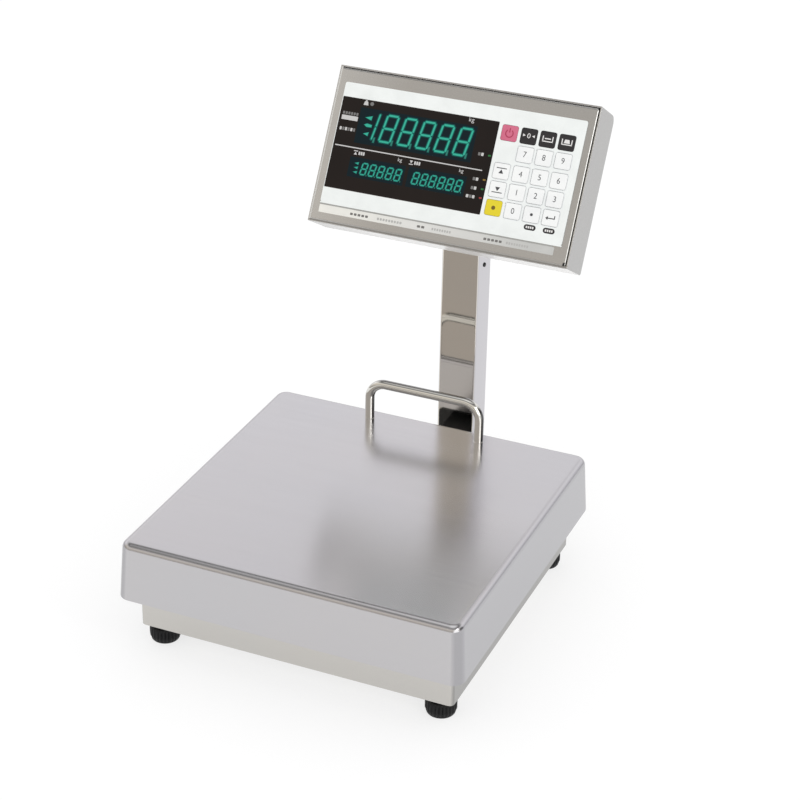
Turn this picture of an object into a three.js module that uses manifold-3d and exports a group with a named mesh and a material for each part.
// Stainless bench weighing scale: a levelled base with a square pan and a guard rail, and a column
// behind it that carries a tilted display and keypad head.
// Millimetres, +Z up, +Y to the back, operator on the -Y side. Working origin: centre of the pan,
// floor level. At the end the group is shifted along Y to centre the whole scale on the origin.
import * as THREE from 'three';
import { mergeVertices } from 'three/addons/utils/BufferGeometryUtils.js';
import Module from 'manifold-3d';

const wasm = await Module();
wasm.setup();

// ---------------------------------------------------------------- shared dimensions
const HOLE_GAP = 0.3;          // radial clearance round rods, studs and the pivot
const FACE_GAP = 0.05;         // gap between faces that meet

const PAN_TOP = 118;           // weighing surface above the floor

const BASE_W = 327;            // base tray
const BASE_D = 316;
const BASE_BOTTOM = 19.7;
const BASE_TOP = 72;
const BASE_SHEET = 2;
const BASE_CORNER_R = 5;

const FOOT_X = 145.7;
const FOOT_Y = 141.8;
const STUD_R = 5;

const COL_W = 41.8;            // column tube, across
const COL_D = 36;              // column tube, front to back
const COL_Y = 245.5;           // front face of the column
const COL_MID = COL_Y + COL_D / 2;
const COL_WALL = 2;
const COL_BOTTOM = 46.3;
const COL_TOP = 298;

const GLAND_Z = 32;            // height of the cable entry at the back of the base
const GLAND_HOLE_R = 8.3;

const PIVOT_Z = 318;           // head tilt axis, parallel to X, over the column's middle
const PIVOT_R = 4;

// ---------------------------------------------------------------- solids
const vec2 = (x, y) => new THREE.Vector2(x, y);
const vec3 = (x, y, z) => new THREE.Vector3(x, y, z);
const radians = THREE.MathUtils.degToRad;

function toSolid(geometry) {
  const bare = geometry.clone();
  bare.deleteAttribute('normal');
  bare.deleteAttribute('uv');
  const merged = mergeVertices(bare, 1e-4);
  return new wasm.Manifold(new wasm.Mesh({
    numProp: 3,
    vertProperties: new Float32Array(merged.attributes.position.array),
    triVerts: new Uint32Array(merged.index.array),
  }));
}

function fromSolid(solid) {
  const mesh = solid.getMesh();
  const geometry = new THREE.BufferGeometry();
  const positions = new Float32Array(mesh.vertProperties);
  geometry.setAttribute('position', new THREE.BufferAttribute(positions, 3));
  geometry.setIndex(new THREE.BufferAttribute(new Uint32Array(mesh.triVerts), 1));
  geometry.computeVertexNormals();
  return geometry;
}

const cut = (body, ...tools) => fromSolid(
  tools.reduce((solid, tool) => solid.subtract(toSolid(tool)), toSolid(body)));
const join = (body, ...more) => fromSolid(
  more.reduce((solid, part) => solid.add(toSolid(part)), toSolid(body)));

// ---------------------------------------------------------------- outlines
// Points [a, b] on an arc, angles in degrees, both ends included.
function arcPoints(centreA, centreB, radius, from, to, segments) {
  const points = [];
  for (let i = 0; i <= segments; i++) {
    const angle = radians(from + (to - from) * i / segments);
    points.push([centreA + radius * Math.cos(angle), centreB + radius * Math.sin(angle)]);
  }
  return points;
}

function roundedRect(x0, y0, x1, y1, radius, segments) {
  return [
    ...arcPoints(x1 - radius, y1 - radius, radius, 0, 90, segments),
    ...arcPoints(x0 + radius, y1 - radius, radius, 90, 180, segments),
    ...arcPoints(x0 + radius, y0 + radius, radius, 180, 270, segments),
    ...arcPoints(x1 - radius, y0 + radius, radius, 270, 360, segments),
  ].map(([x, y]) => vec2(x, y));
}

const roundedShape = (...args) => new THREE.Shape(roundedRect(...args));
const centredShape = (width, height, radius, segments) =>
  roundedShape(-width / 2, -height / 2, width / 2, height / 2, radius, segments);

// Circle of points; phase turns it by a fraction of one segment.
function ring(x, y, radius, segments, phase = 0) {
  return Array.from({ length: segments }, (_, i) => {
    const angle = 2 * Math.PI * (i + phase) / segments;
    return vec2(x + radius * Math.cos(angle), y + radius * Math.sin(angle));
  });
}

// ---------------------------------------------------------------- basic bodies
function plate(shape, z0, z1) {
  const geometry = new THREE.ExtrudeGeometry(shape, { depth: z1 - z0, bevelEnabled: false });
  return geometry.translate(0, 0, z0);
}

// Plate whose outline [y, z] lies in the Y-Z plane, extruded along X.
function sidePlate(outline, x0, x1) {
  const geometry = plate(new THREE.Shape(outline.map(([y, z]) => vec2(y, z))), 0, x1 - x0);
  const axes = new THREE.Matrix4().makeBasis(vec3(0, 1, 0), vec3(0, 0, 1), vec3(1, 0, 0));
  return geometry.applyMatrix4(axes).translate(x0, 0, 0);
}

function box(x0, x1, y0, y1, z0, z1) {
  return new THREE.BoxGeometry(x1 - x0, y1 - y0, z1 - z0)
    .translate((x0 + x1) / 2, (y0 + y1) / 2, (z0 + z1) / 2);
}

const cylinder = (radius, length, segments) =>
  new THREE.CylinderGeometry(radius, radius, length, segments);
const cylinderX = (radius, x0, x1, y, z, segments) =>
  cylinder(radius, x1 - x0, segments).rotateZ(Math.PI / 2).translate((x0 + x1) / 2, y, z);
const cylinderY = (radius, y0, y1, x, z, segments) =>
  cylinder(radius, y1 - y0, segments).translate(x, (y0 + y1) / 2, z);
const cylinderZ = (radius, z0, z1, x, y, segments) =>
  cylinder(radius, z1 - z0, segments).rotateX(Math.PI / 2).translate(x, y, (z0 + z1) / 2);

// Equal cylinders along Z, one at each x.
const rowZ = (radius, z0, z1, xs, y, segments) =>
  xs.map((x) => cylinderZ(radius, z0, z1, x, y, segments));

// Turned part about the Z axis; profile is [radius, z] from bottom to top.
function turned(profile, segments) {
  const points = profile.map(([radius, z]) => vec2(radius, z));
  return new THREE.LatheGeometry(points, segments).rotateX(Math.PI / 2);
}

// Hexagon head and round shank along Z; head and shank are [z0, z1].
function hexBolt({ headR, head, shankR, shank, x, y }) {
  return join(cylinderZ(headR, ...head, x, y, 6), cylinderZ(shankR, ...shank, x, y, 16));
}

// Round rod through a list of points, mitred at every point, closed by end discs.
// A straight extrusion has its stations moved onto the mitre planes.
function sweptRod(points, radius, segments) {
  const steps = points.length - 1;
  const section = new THREE.Shape(ring(0, 0, radius, segments, 0.5));
  section.closePath();
  const extrudePath = new THREE.LineCurve3(vec3(0, 0, 0), vec3(0, 0, steps));
  const geometry = new THREE.ExtrudeGeometry(section, { steps, extrudePath, bevelEnabled: false });

  const directions = points.slice(1).map((point, i) => point.clone().sub(points[i]).normalize());
  const tangents = points.map((_, i) => {
    const before = directions[Math.max(0, i - 1)];
    const after = directions[Math.min(steps - 1, i)];
    return before.clone().add(after).normalize();
  });

  // each frame carries the previous normal over, so the rod does not twist
  let normal = Math.abs(tangents[0].z) > 0.9 ? vec3(0, 1, 0) : vec3(0, 0, 1);
  const frames = tangents.map((tangent) => {
    normal = normal.clone().projectOnPlane(tangent).normalize();
    return { normal, binormal: tangent.clone().cross(normal).normalize() };
  });

  const position = geometry.attributes.position;
  for (let i = 0; i < position.count; i++) {
    const station = Math.round(position.getZ(i));
    const frame = frames[station];
    const moved = points[station].clone()
      .addScaledVector(frame.normal, position.getX(i))
      .addScaledVector(frame.binormal, position.getY(i));
    position.setXYZ(i, moved.x, moved.y, moved.z);
  }
  return geometry;
}

// ---------------------------------------------------------------- materials
const steelPolished = { color: 0xc6c5c8, roughness: 0.28, metalness: 1 };
const steelBrushed = { color: 0xbdb9b4, roughness: 0.38, metalness: 1 };
const steelPlain = { color: 0xa9a7a3, roughness: 0.45, metalness: 1 };
const boltSteel = { color: 0x9c9b99, roughness: 0.35, metalness: 1 };
const castAlu = { color: 0xb4b6b8, roughness: 0.5, metalness: 1 };
const rubber = { color: 0x121214, roughness: 0.75, metalness: 0 };
const bracketBlack = { color: 0x1b1b1c, roughness: 0.45, metalness: 0.2 };
const blackPlastic = { color: 0x1a1b1d, roughness: 0.5, metalness: 0 };
const darkWindow = { color: 0x1c1817, roughness: 0.08, metalness: 0 };
const overlayWhite = { color: 0xeceeee, roughness: 0.42, metalness: 0 };
const keyWhite = { color: 0xf1f1ef, roughness: 0.4, metalness: 0 };
const keyBlack = { color: 0x17161a, roughness: 0.38, metalness: 0 };
const keyRed = { color: 0xc85a78, roughness: 0.4, metalness: 0 };
const keyYellow = { color: 0xe0cc1e, roughness: 0.4, metalness: 0 };
const boardGreen = { color: 0x1f5a38, roughness: 0.5, metalness: 0 };

const scale = new THREE.Group();

function add(parent, name, geometry, finish) {
  const mesh = new THREE.Mesh(geometry, new THREE.MeshStandardMaterial(finish));
  mesh.name = name;
  parent.add(mesh);
}

// [name ending, side along X, side along Y]
const CORNERS = [
  ['front_left', -1, -1], ['front_right', 1, -1], ['rear_left', -1, 1], ['rear_right', 1, 1],
];
const SIDES = [['left', -1], ['right', 1]];

// ---------------------------------------------------------------- weighing pan
const PAN_SIZE = 350;          // side to side across the top
const PAN_SKIRT_BOTTOM = 57.8; // lower edge of the skirt
const PAN_FLARE = 3.3;         // how far the skirt leans out at its lower edge
const PAN_EDGE_R = 7;          // bend between top and skirt
const PAN_CORNER_R = 12;       // vertical corners of the skirt
const PAN_SHEET = 1.5;

const RAIL_R = 5;              // guard rail rod
const RAIL_HALF = 61.4;        // rod axis to pan centre line
const RAIL_Y = 155.5;
const RAIL_TOP = 160;          // axis of the top bar above the floor
const RAIL_BEND = 18;          // bend radius on the rod axis

// Solid cap with rounded upper edge and outward-leaning skirt, inset from the pan's outer face.
// It runs past the skirt's lower edge.
function panBlank(inset) {
  const flat = PAN_SIZE - 2 * PAN_EDGE_R;
  const bend = PAN_EDGE_R - inset;
  const half = PAN_SIZE / 2 - inset;
  const skirtTop = PAN_TOP - PAN_EDGE_R;
  const skirtHeight = skirtTop - PAN_SKIRT_BOTTOM;
  const shape = centredShape(flat, flat, PAN_CORNER_R - PAN_EDGE_R, 5);
  const geometry = new THREE.ExtrudeGeometry(shape, {
    depth: skirtHeight,
    bevelEnabled: true,
    bevelThickness: bend,
    bevelSize: bend,
    bevelSegments: 5,
  });
  geometry.translate(0, 0, PAN_SKIRT_BOTTOM);
  // the skirt leans outwards in proportion to its depth below the bend
  const position = geometry.attributes.position;
  for (let i = 0; i < position.count; i++) {
    const z = position.getZ(i);
    const drop = THREE.MathUtils.clamp((skirtTop - z) / skirtHeight, 0, 1);
    const stretch = (half + PAN_FLARE * drop) / half;
    position.setXYZ(i, position.getX(i) * stretch, position.getY(i) * stretch, z);
  }
  return geometry;
}

function weighingPan() {
  const below = box(-300, 300, -300, 300, -50, PAN_SKIRT_BOTTOM);
  const railHoles = rowZ(
    RAIL_R + HOLE_GAP, PAN_TOP - 10, PAN_TOP + 10, [-RAIL_HALF, RAIL_HALF], RAIL_Y, 16);
  return cut(panBlank(0), panBlank(PAN_SHEET), below, ...railHoles);
}

function guardRail() {
  const bendX = RAIL_HALF - RAIL_BEND;
  const bendZ = RAIL_TOP - RAIL_BEND;
  const endZ = PAN_TOP - 5;
  const path = [
    [-RAIL_HALF, endZ],
    ...arcPoints(-bendX, bendZ, RAIL_BEND, 180, 90, 8),
    ...arcPoints(bendX, bendZ, RAIL_BEND, 90, 0, 8),
    [RAIL_HALF, endZ],
  ];
  return sweptRod(path.map(([x, z]) => vec3(x, RAIL_Y, z)), RAIL_R, 16);
}

add(scale, 'weighing_pan', weighingPan(), steelPolished);
add(scale, 'guard_rail', guardRail(), steelPolished);

// ---------------------------------------------------------------- base tray and load cell
// The load cell lies along X: fixed to the base at its -X end, carrying the spider at its +X end.
const CELL_Z0 = 34;
const CELL_Z1 = 74;
const CELL_MID_Z = (CELL_Z0 + CELL_Z1) / 2;
const BASE_BOLTS_X = [-52, -28];
const TOP_BOLTS_X = [52, 34];
const BOLT_HOLE_R = 4.4;       // clearance holes in base, spacer and spider
const CELL_HOLE_R = 4.3;
const BOLT_END_Z = 55;         // shank ends inside the load cell
const BOLT_HEAD_END = 5.3;     // far face of a bolt head from the surface it clamps
const HEAD_OVERLAP = 0.5;      // shank runs this far into the head

function baseFrame() {
  const outer = plate(centredShape(BASE_W, BASE_D, BASE_CORNER_R, 4), BASE_BOTTOM, BASE_TOP);
  const inner = plate(
    centredShape(BASE_W - 2 * BASE_SHEET, BASE_D - 2 * BASE_SHEET, BASE_CORNER_R - BASE_SHEET, 4),
    BASE_BOTTOM + BASE_SHEET, BASE_TOP + 5);
  const studHoles = CORNERS.map(([, sideX, sideY]) =>
    cylinderZ(STUD_R + HOLE_GAP, 0, 40, sideX * FOOT_X, sideY * FOOT_Y, 20));
  return cut(outer, inner, ...studHoles,
    ...rowZ(BOLT_HOLE_R, 0, 40, BASE_BOLTS_X, 0, 20),
    cylinderY(GLAND_HOLE_R, 140, 170, 0, GLAND_Z, 20));
}

function cellSpacer() {
  const gap = 0.02;
  const block = box(-65, -16, -19, 19, BASE_BOTTOM + BASE_SHEET + gap, CELL_Z0 - gap);
  return cut(block, ...rowZ(BOLT_HOLE_R, 0, 60, BASE_BOLTS_X, 0, 20));
}

function loadCell() {
  // two round openings through the block along Y, linked by a slot
  const openingX = 14;
  const opening = join(
    cylinderY(12, -30, 30, -openingX, CELL_MID_Z, 20),
    cylinderY(12, -30, 30, openingX, CELL_MID_Z, 20),
    box(-openingX, openingX, -30, 30, CELL_MID_Z - 5, CELL_MID_Z + 5));
  return cut(box(-70, 70, -17, 17, CELL_Z0, CELL_Z1), opening,
    ...rowZ(CELL_HOLE_R, 20, 58, BASE_BOLTS_X, 0, 20),
    ...rowZ(CELL_HOLE_R, 52, 90, TOP_BOLTS_X, 0, 20));
}

const cellBolt = (x, head, shank) => hexBolt({ headR: 6.5, head, shankR: 4, shank, x, y: 0 });

function baseBolt(x) {
  const headTop = BASE_BOTTOM - FACE_GAP;
  return cellBolt(x, [BASE_BOTTOM - BOLT_HEAD_END, headTop], [headTop - HEAD_OVERLAP, BOLT_END_Z]);
}

add(scale, 'base_frame', baseFrame(), steelBrushed);
add(scale, 'load_cell_spacer', cellSpacer(), steelPlain);
add(scale, 'load_cell', loadCell(), castAlu);
add(scale, 'load_cell_base_bolt_front', baseBolt(-28), boltSteel);
add(scale, 'load_cell_base_bolt_back', baseBolt(-52), boltSteel);

// ---------------------------------------------------------------- platform spider and pan pads
const SPIDER_Z0 = 88;
const SPIDER_Z1 = 99;
const ARM_X = 128;             // reach of the diagonal arms
const ARM_Y = 122;
const ARM_W = 24;
const POST_X = 126;            // posts under the pan pads
const POST_Y = 120;
const POST_TOP = 110;

// [radius, z]
const PAN_PAD_PROFILE = [
  [0, POST_TOP + FACE_GAP], [12, POST_TOP + FACE_GAP],
  [12, 113.4], [10.8, 115.2], [8, 116.2], [0, 116.2],
];

function platformSpider() {
  const hub = box(-50, 72, -38, 38, SPIDER_Z0, SPIDER_Z1);
  const arms = [-1, 1].map((side) =>
    new THREE.BoxGeometry(2 * Math.hypot(ARM_X, ARM_Y), ARM_W, SPIDER_Z1 - SPIDER_Z0)
      .rotateZ(side * Math.atan2(ARM_Y, ARM_X))
      .translate(0, 0, (SPIDER_Z0 + SPIDER_Z1) / 2));
  const posts = CORNERS.map(([, sideX, sideY]) =>
    cylinderZ(15, SPIDER_Z0, POST_TOP, sideX * POST_X, sideY * POST_Y, 20));
  const boss = box(25, 66, -17, 17, CELL_Z1 + FACE_GAP, SPIDER_Z0 + 1);
  return cut(join(hub, ...arms, ...posts, boss),
    ...rowZ(BOLT_HOLE_R, 60, 120, TOP_BOLTS_X, 0, 20));
}

function topBolt(x) {
  const headLow = SPIDER_Z1 + FACE_GAP;
  return cellBolt(x, [headLow, SPIDER_Z1 + BOLT_HEAD_END], [BOLT_END_Z, headLow + HEAD_OVERLAP]);
}

add(scale, 'platform_spider', platformSpider(), castAlu);
add(scale, 'load_cell_top_bolt_inner', topBolt(34), boltSteel);
add(scale, 'load_cell_top_bolt_outer', topBolt(52), boltSteel);
for (const [corner, sideX, sideY] of CORNERS) {
  const pad = turned(PAN_PAD_PROFILE, 20).translate(sideX * POST_X, sideY * POST_Y, 0);
  add(scale, `pan_pad_${corner}`, pad, rubber);
}

// ---------------------------------------------------------------- levelling feet
const FOOT_R = 15.4;
const FOOT_H = 16.2;
const FLUTES = 18;
const FLUTE_DEPTH = 0.9;
const STUD_TOP = 50;

// [radius, z]
const SOLE_PROFILE = [[0, 0], [12.2, 0], [13.6, 1], [14.2, 3.4], [0, 3.4]];
const CROWN_PROFILE = [[0, FOOT_H - 1.4], [14.1, FOOT_H - 1.4], [12.8, FOOT_H], [0, FOOT_H]];

// Threadless stud with a thin hexagon nut just above the foot.
function footStud() {
  return join(
    cylinderZ(STUD_R, 6.3, STUD_TOP, 0, 0, 20),
    cylinderZ(8.2, FOOT_H + 0.3, FOOT_H + 2.2, 0, 0, 6));
}

function footPad() {
  const outline = [];
  for (let i = 0; i < FLUTES * 2; i++) {
    const angle = Math.PI * i / FLUTES;
    const radius = i % 2 ? FOOT_R - FLUTE_DEPTH : FOOT_R;
    outline.push(vec2(radius * Math.cos(angle), radius * Math.sin(angle)));
  }
  const grip = plate(new THREE.Shape(outline), 3.2, FOOT_H - 1.2);
  return cut(
    join(grip, turned(SOLE_PROFILE, 24), turned(CROWN_PROFILE, 24)),
    cylinderZ(STUD_R + HOLE_GAP, 6, 30, 0, 0, 20));
}

for (const [corner, sideX, sideY] of CORNERS) {
  const place = [sideX * FOOT_X, sideY * FOOT_Y, 0];
  add(scale, `foot_stud_${corner}`, footStud().translate(...place), boltSteel);
  add(scale, `foot_pad_${corner}`, footPad().translate(...place), rubber);
}

// ---------------------------------------------------------------- column bracket
const BRACKET_Y0 = BASE_D / 2 + 0.1;
const BRACKET_Y1 = 285.5;
const BRACKET_SHEET = 3;

const COL_BOLT_X = 27;
const COL_BOLT_Y = COL_MID - 9;

// [x, z] outline of the flange, with sloping shoulders
const FLANGE_OUTLINE = [
  [-60, 21], [60, 21], [60, 38], [46, 50], [42, 64], [-42, 64], [-46, 50], [-60, 38],
];

// Cable hole and two bolt holes up through the bracket's top and the column's foot plate.
const columnFootHoles = (z0, z1) => [
  cylinderZ(9, z0, z1, 0, COL_MID, 20),
  ...rowZ(3.4, z0, z1, [-COL_BOLT_X, COL_BOLT_X], COL_BOLT_Y, 16),
];

// Channel behind the base, open below, with a flange flat against the base.
function columnBracket() {
  const outer = box(-35, 35, BRACKET_Y0, BRACKET_Y1, 21, COL_BOTTOM - 0.3);
  const hollow = box(-32, 32, BRACKET_Y0 + BRACKET_SHEET, BRACKET_Y1 - BRACKET_SHEET,
    5, COL_BOTTOM - 0.3 - BRACKET_SHEET);
  const flangeShape = new THREE.Shape(FLANGE_OUTLINE.map(([x, z]) => vec2(x, z)));
  const flange = plate(flangeShape, 0, BRACKET_SHEET)
    .rotateX(Math.PI / 2)
    .translate(0, BRACKET_Y0 + BRACKET_SHEET, 0);
  return cut(join(outer, flange), hollow,
    cylinderY(GLAND_HOLE_R, 140, 175, 0, GLAND_Z, 20),
    ...columnFootHoles(38, 53));
}

add(scale, 'column_bracket', columnBracket(), bracketBlack);

// ---------------------------------------------------------------- column tube with foot plate
const COL_FOOT_TOP = COL_BOTTOM + 4;
const SIDE_SCREW_Y = COL_MID - 1.5;
const SIDE_SCREW_Z = 266;

const sideScrewHole = () => cylinderX(1.9, -40, 40, SIDE_SCREW_Y, SIDE_SCREW_Z, 16);

const tubeOutline = (inset, radius, segments) => roundedShape(
  -COL_W / 2 + inset, COL_Y + inset, COL_W / 2 - inset, COL_Y + COL_D - inset, radius, segments);

function columnTube() {
  const tube = plate(tubeOutline(0, 2.2, 3), COL_BOTTOM, COL_TOP);
  const foot = plate(
    roundedShape(-34, COL_Y - 4, 34, COL_Y + COL_D + 3, 3, 3), COL_BOTTOM, COL_FOOT_TOP);
  const bore = plate(tubeOutline(COL_WALL, 0.8, 2), COL_FOOT_TOP, COL_TOP + 5);
  return cut(join(tube, foot), bore, ...columnFootHoles(40, 65), sideScrewHole());
}

function columnFootBolt(side) {
  const headLow = COL_FOOT_TOP + FACE_GAP;
  return hexBolt({
    headR: 4,
    head: [headLow, headLow + 4],
    shankR: 3,
    shank: [COL_BOTTOM - 9.3, headLow + HEAD_OVERLAP],
    x: side * COL_BOLT_X,
    y: COL_BOLT_Y,
  });
}

add(scale, 'column_tube', columnTube(), steelPolished);
for (const [tag, side] of SIDES) {
  add(scale, `column_foot_bolt_${tag}`, columnFootBolt(side), boltSteel);
}

// ---------------------------------------------------------------- head post in the column's top
const HEAD_POST_X = 18.5;      // outer faces of the two ears
const HEAD_POST_SHEET = 2.5;
const HEAD_POST_BOTTOM = 246;

// [radius, distance out from the middle of the column]
const SIDE_SCREW_PROFILE = [
  [0, -6], [1.6, -6], [1.6, 0.1], [2.5, 0.1], [2.4, 0.8], [1.6, 1.3], [0, 1.4],
].map(([radius, out]) => [radius, COL_W / 2 + out]);

function headPost() {
  const y0 = COL_Y + COL_WALL + 0.5;
  const y1 = COL_Y + COL_D - COL_WALL - 0.5;
  const earR = 12;
  const ear = [
    [y0, HEAD_POST_BOTTOM], [y1, HEAD_POST_BOTTOM], [y1, PIVOT_Z - earR],
    ...arcPoints(COL_MID, PIVOT_Z, earR, -10, 190, 12),
    [y0, PIVOT_Z - earR],
  ];
  const left = sidePlate(ear, -HEAD_POST_X, -HEAD_POST_X + HEAD_POST_SHEET);
  const right = sidePlate(ear, HEAD_POST_X - HEAD_POST_SHEET, HEAD_POST_X);
  const web = box(
    -HEAD_POST_X, HEAD_POST_X, y1 - HEAD_POST_SHEET, y1, HEAD_POST_BOTTOM, COL_TOP + 4);
  return cut(join(left, right, web),
    cylinderX(PIVOT_R + HOLE_GAP, -40, 40, COL_MID, PIVOT_Z, 20), sideScrewHole());
}

add(scale, 'head_post', headPost(), steelPlain);
for (const [tag, side] of SIDES) {
  // pan-head screw through the tube wall into the post
  const screw = turned(SIDE_SCREW_PROFILE, 20)
    .rotateY(side * Math.PI / 2)
    .translate(0, SIDE_SCREW_Y, SIDE_SCREW_Z);
  add(scale, `column_side_screw_${tag}`, screw, boltSteel);
}

// ---------------------------------------------------------------- signal cable and its gland
// From the load cell through the gland, then up inside the column.
function signalCable() {
  const bend = 22;
  const rise = arcPoints(COL_MID - bend, GLAND_Z + bend, bend, -90, 0, 6).slice(1);
  const path = [
    [-9, 24, 64], [-9, 60, 62], [-8, 100, 50], [-4, 130, GLAND_Z + 3],
    [0, 150, GLAND_Z], [0, 185, GLAND_Z], [0, 215, GLAND_Z],
    ...rise.map(([y, z]) => [0, y, z]),
    [0, COL_MID, 120], [0, COL_MID, 292],
  ];
  return sweptRod(path.map((point) => vec3(...point)), 3, 8);
}

function cableGland() {
  const innerNutY1 = BASE_D / 2 - BASE_SHEET - 0.3;
  const body = join(
    cylinderY(7.9, 150, 161.6, 0, GLAND_Z, 20),
    cylinderY(10, 161.6, 171, 0, GLAND_Z, 6),
    cylinderY(10, 150, innerNutY1, 0, GLAND_Z, 6));
  return cut(body, cylinderY(3.4, 100, 200, 0, GLAND_Z, 12));
}

add(scale, 'signal_cable', signalCable(), blackPlastic);
add(scale, 'base_cable_gland', cableGland(), blackPlastic);

// ---------------------------------------------------------------- display and keypad head
// Head frame: x across, y up the face, z out of the face; origin at the centre of the front face.
const HEAD_Y = 212.33;
const HEAD_Z = 392.66;
const HEAD_TILT = 30;          // face leans back from upright, degrees
const HEAD_HALF_W = 282.1 / 2;
const HEAD_HALF_H = 163.5 / 2;
const HEAD_D = 52.2;
const HEAD_WALL = 1.5;
const CABLE_HOLE_Y = -58;      // cable hole in the head's back

const head = new THREE.Group();
head.position.set(0, HEAD_Y, HEAD_Z);
head.rotation.x = radians(90 - HEAD_TILT);
scale.add(head);

// Side outline [y, z] of the housing, rounded along both back edges.
function housingProfile(inset, front) {
  const topR = 9 - inset;
  const bottomR = 3 - inset;
  const top = HEAD_HALF_H - inset;
  const back = -HEAD_D + inset;
  return [
    [-top, front], [top, front],
    ...arcPoints(top - topR, back + topR, topR, 0, -90, 5),
    ...arcPoints(-top + bottomR, back + bottomR, bottomR, -90, -180, 3),
  ];
}

function headHousing() {
  const innerX = HEAD_HALF_W - HEAD_WALL;
  return cut(
    sidePlate(housingProfile(0, -0.4), -HEAD_HALF_W, HEAD_HALF_W),
    sidePlate(housingProfile(HEAD_WALL, 5), -innerX, innerX),
    cylinderZ(6.5, -60, -40, 0, CABLE_HOLE_Y, 20));
}

// Front tray with a rounded rim, open at the back. It sits close to the left and bottom walls
// and leaves an open seam along the top and right.
function headBezel() {
  const closeGap = HEAD_WALL + 0.12;
  const seam = HEAD_WALL + 0.6;
  const x0 = -HEAD_HALF_W + closeGap;
  const x1 = HEAD_HALF_W - seam;
  const y0 = -HEAD_HALF_H + closeGap;
  const y1 = HEAD_HALF_H - seam;
  const bend = 2.2;
  const depth = 16;            // before the back is trimmed
  const sheet = 1.4;
  const shape = roundedShape(x0 + bend, y0 + bend, x1 - bend, y1 - bend, 0.6, 2);
  const tray = new THREE.ExtrudeGeometry(shape, {
    depth: depth - 2 * bend,
    bevelEnabled: true,
    bevelThickness: bend,
    bevelSize: bend,
    bevelSegments: 4,
  }).translate(0, 0, bend - depth);
  const hollow = box(x0 + sheet, x1 - sheet, y0 + sheet, y1 - sheet, -20, -1.5);
  const windowOpening = box(-122, 34, -40, 45, -5, 5);
  const keyOpening = box(42.5, 123.5, -45, 50.5, -5, 5);
  const backTrim = box(-160, 160, -100, 100, -30, -12);
  return cut(tray, hollow, windowOpening, keyOpening, backTrim);
}

add(head, 'head_housing', headHousing(), steelBrushed);
add(head, 'head_bezel', headBezel(), steelBrushed);

// ---------------------------------------------------------------- overlay, window and keys
const PANEL_Z = [0.3, 1.1];    // back and front of overlay and window

const KEY_W = 16.8;
const KEY_H = 15.7;
const KEY_SLIT = 0.3;
const KEY_COLUMNS = [53.5, 74, 94, 114];

// [y of the row, key names by column]
const KEY_ROWS = [
  [40.5, ['key_power', 'key_zero', 'key_tare', 'key_gross']],
  [21.8, [null, 'key_7', 'key_8', 'key_9']],
  [1.8, ['key_upper_limit', 'key_4', 'key_5', 'key_6']],
  [-16.8, ['key_lower_limit', 'key_1', 'key_2', 'key_3']],
  [-35.5, ['key_sound', 'key_0', 'key_point', 'key_enter']],
];
// every other key is white
const KEY_FINISHES = {
  key_power: keyRed,
  key_zero: keyBlack,
  key_tare: keyBlack,
  key_gross: keyBlack,
  key_sound: keyYellow,
};
const keys = KEY_ROWS.flatMap(([y, names]) =>
  names.map((name, column) => ({ name, x: KEY_COLUMNS[column], y }))).filter(({ name }) => name);

// Window outline, grown on all sides.
const windowOutline = (grow, radius) =>
  roundedRect(-130.3 - grow, -44.7 - grow, 41 + grow, 50.1 + grow, radius, 2);

function keypadPanel() {
  const shape = roundedShape(-131, -60.2, 131, 65, 2, 3);
  shape.holes.push(new THREE.Path(windowOutline(0.2, 1)));
  const halfW = KEY_W / 2 + KEY_SLIT;
  const halfH = KEY_H / 2 + KEY_SLIT;
  for (const { x, y } of keys) {
    const outline = roundedRect(x - halfW, y - halfH, x + halfW, y + halfH, 2.2, 3);
    shape.holes.push(new THREE.Path(outline));
  }
  return plate(shape, ...PANEL_Z);
}

const displayWindow = () => plate(new THREE.Shape(windowOutline(-0.1, 0.8)), ...PANEL_Z);

add(head, 'keypad_panel', keypadPanel(), overlayWhite);
add(head, 'display_window', displayWindow(), darkWindow);
for (const { name, x, y } of keys) {
  const key = plate(centredShape(KEY_W, KEY_H, 1.9, 3), -0.6, 1.35).translate(x, y, 0);
  add(head, name, key, KEY_FINISHES[name] ?? keyWhite);
}

// ---------------------------------------------------------------- displays and board
const display = (x0, y0, x1, y1) => plate(roundedShape(x0, y0, x1, y1, 1.5, 2), -10.5, -2.5);

function mainBoard() {
  const shape = centredShape(250, 132, 2, 2);
  for (const x of [-118, 118]) {
    for (const y of [-60, 60]) shape.holes.push(new THREE.Path(ring(x, y, 2.2, 12)));
  }
  return plate(shape, -13, -11.2);
}

add(head, 'weight_display', display(-112, -6, 30, 44), blackPlastic);
add(head, 'lower_display', display(-118, -39, 32, -9), blackPlastic);
add(head, 'main_board', mainBoard(), boardGreen);

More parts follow.
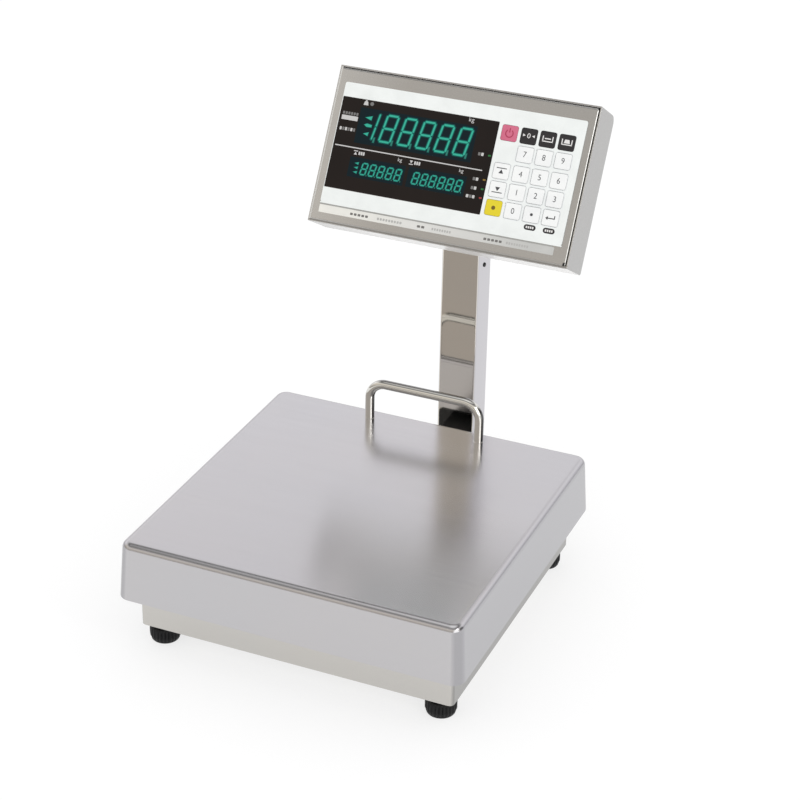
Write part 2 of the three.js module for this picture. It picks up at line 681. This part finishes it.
// ---------------------------------------------------------------- yoke and pivot
// Pivot axis in the head frame.
const tiltCos = Math.cos(radians(HEAD_TILT));
const tiltSin = Math.sin(radians(HEAD_TILT));
const pivotY = (COL_MID - HEAD_Y) * tiltSin + (PIVOT_Z - HEAD_Z) * tiltCos;
const pivotZ = -(COL_MID - HEAD_Y) * tiltCos + (PIVOT_Z - HEAD_Z) * tiltSin;

const EAR_X0 = HEAD_POST_X + 0.4; // inner face of each yoke ear
const EAR_X1 = EAR_X0 + 2.6;      // outer face
const PIVOT_HEX_R = 6.8;

const pivotCylinder = (radius, x0, x1, segments) =>
  cylinderX(radius, x0, x1, pivotY, pivotZ, segments);

// Plate on the back of the housing with an ear either side of the post.
function headYoke() {
  const front = -HEAD_D - 0.3;
  const ear = [
    [pivotY - 26, front - 2], [pivotY + 26, front - 2],
    ...arcPoints(pivotY, pivotZ, 11.5, 30, -210, 12),
  ];
  const back = plate(
    roundedShape(-40, pivotY - 30, 40, pivotY + 30, 4, 3), front - 3, front);
  return cut(
    join(back, sidePlate(ear, -EAR_X1, -EAR_X0), sidePlate(ear, EAR_X0, EAR_X1)),
    pivotCylinder(PIVOT_R + HOLE_GAP, -60, 60, 20),
    cylinderZ(7, front - 6, front + 2, 0, CABLE_HOLE_Y, 20));
}

const pivotBolt = () => join(
  pivotCylinder(PIVOT_R, -EAR_X1 - 8, EAR_X1 + 1, 20),
  pivotCylinder(PIVOT_HEX_R, EAR_X1 + 0.3, EAR_X1 + 5.6, 6));

const pivotNut = () => cut(
  pivotCylinder(PIVOT_HEX_R, -EAR_X1 - 6.6, -EAR_X1 - 0.3, 6),
  pivotCylinder(PIVOT_R + FACE_GAP, -EAR_X1 - 10, -EAR_X1 + 1, 20));

add(head, 'head_yoke', headYoke(), steelPlain);
add(head, 'pivot_bolt', pivotBolt(), boltSteel);
add(head, 'pivot_nut', pivotNut(), boltSteel);

// ---------------------------------------------------------------- centring along Y
scale.updateMatrixWorld(true);
const bounds = new THREE.Box3().setFromObject(scale, true);
const middleY = Math.round((bounds.min.y + bounds.max.y) / 2 * 1000) / 1000;
scale.position.y = -middleY;
scale.updateMatrixWorld(true);

export default scale;
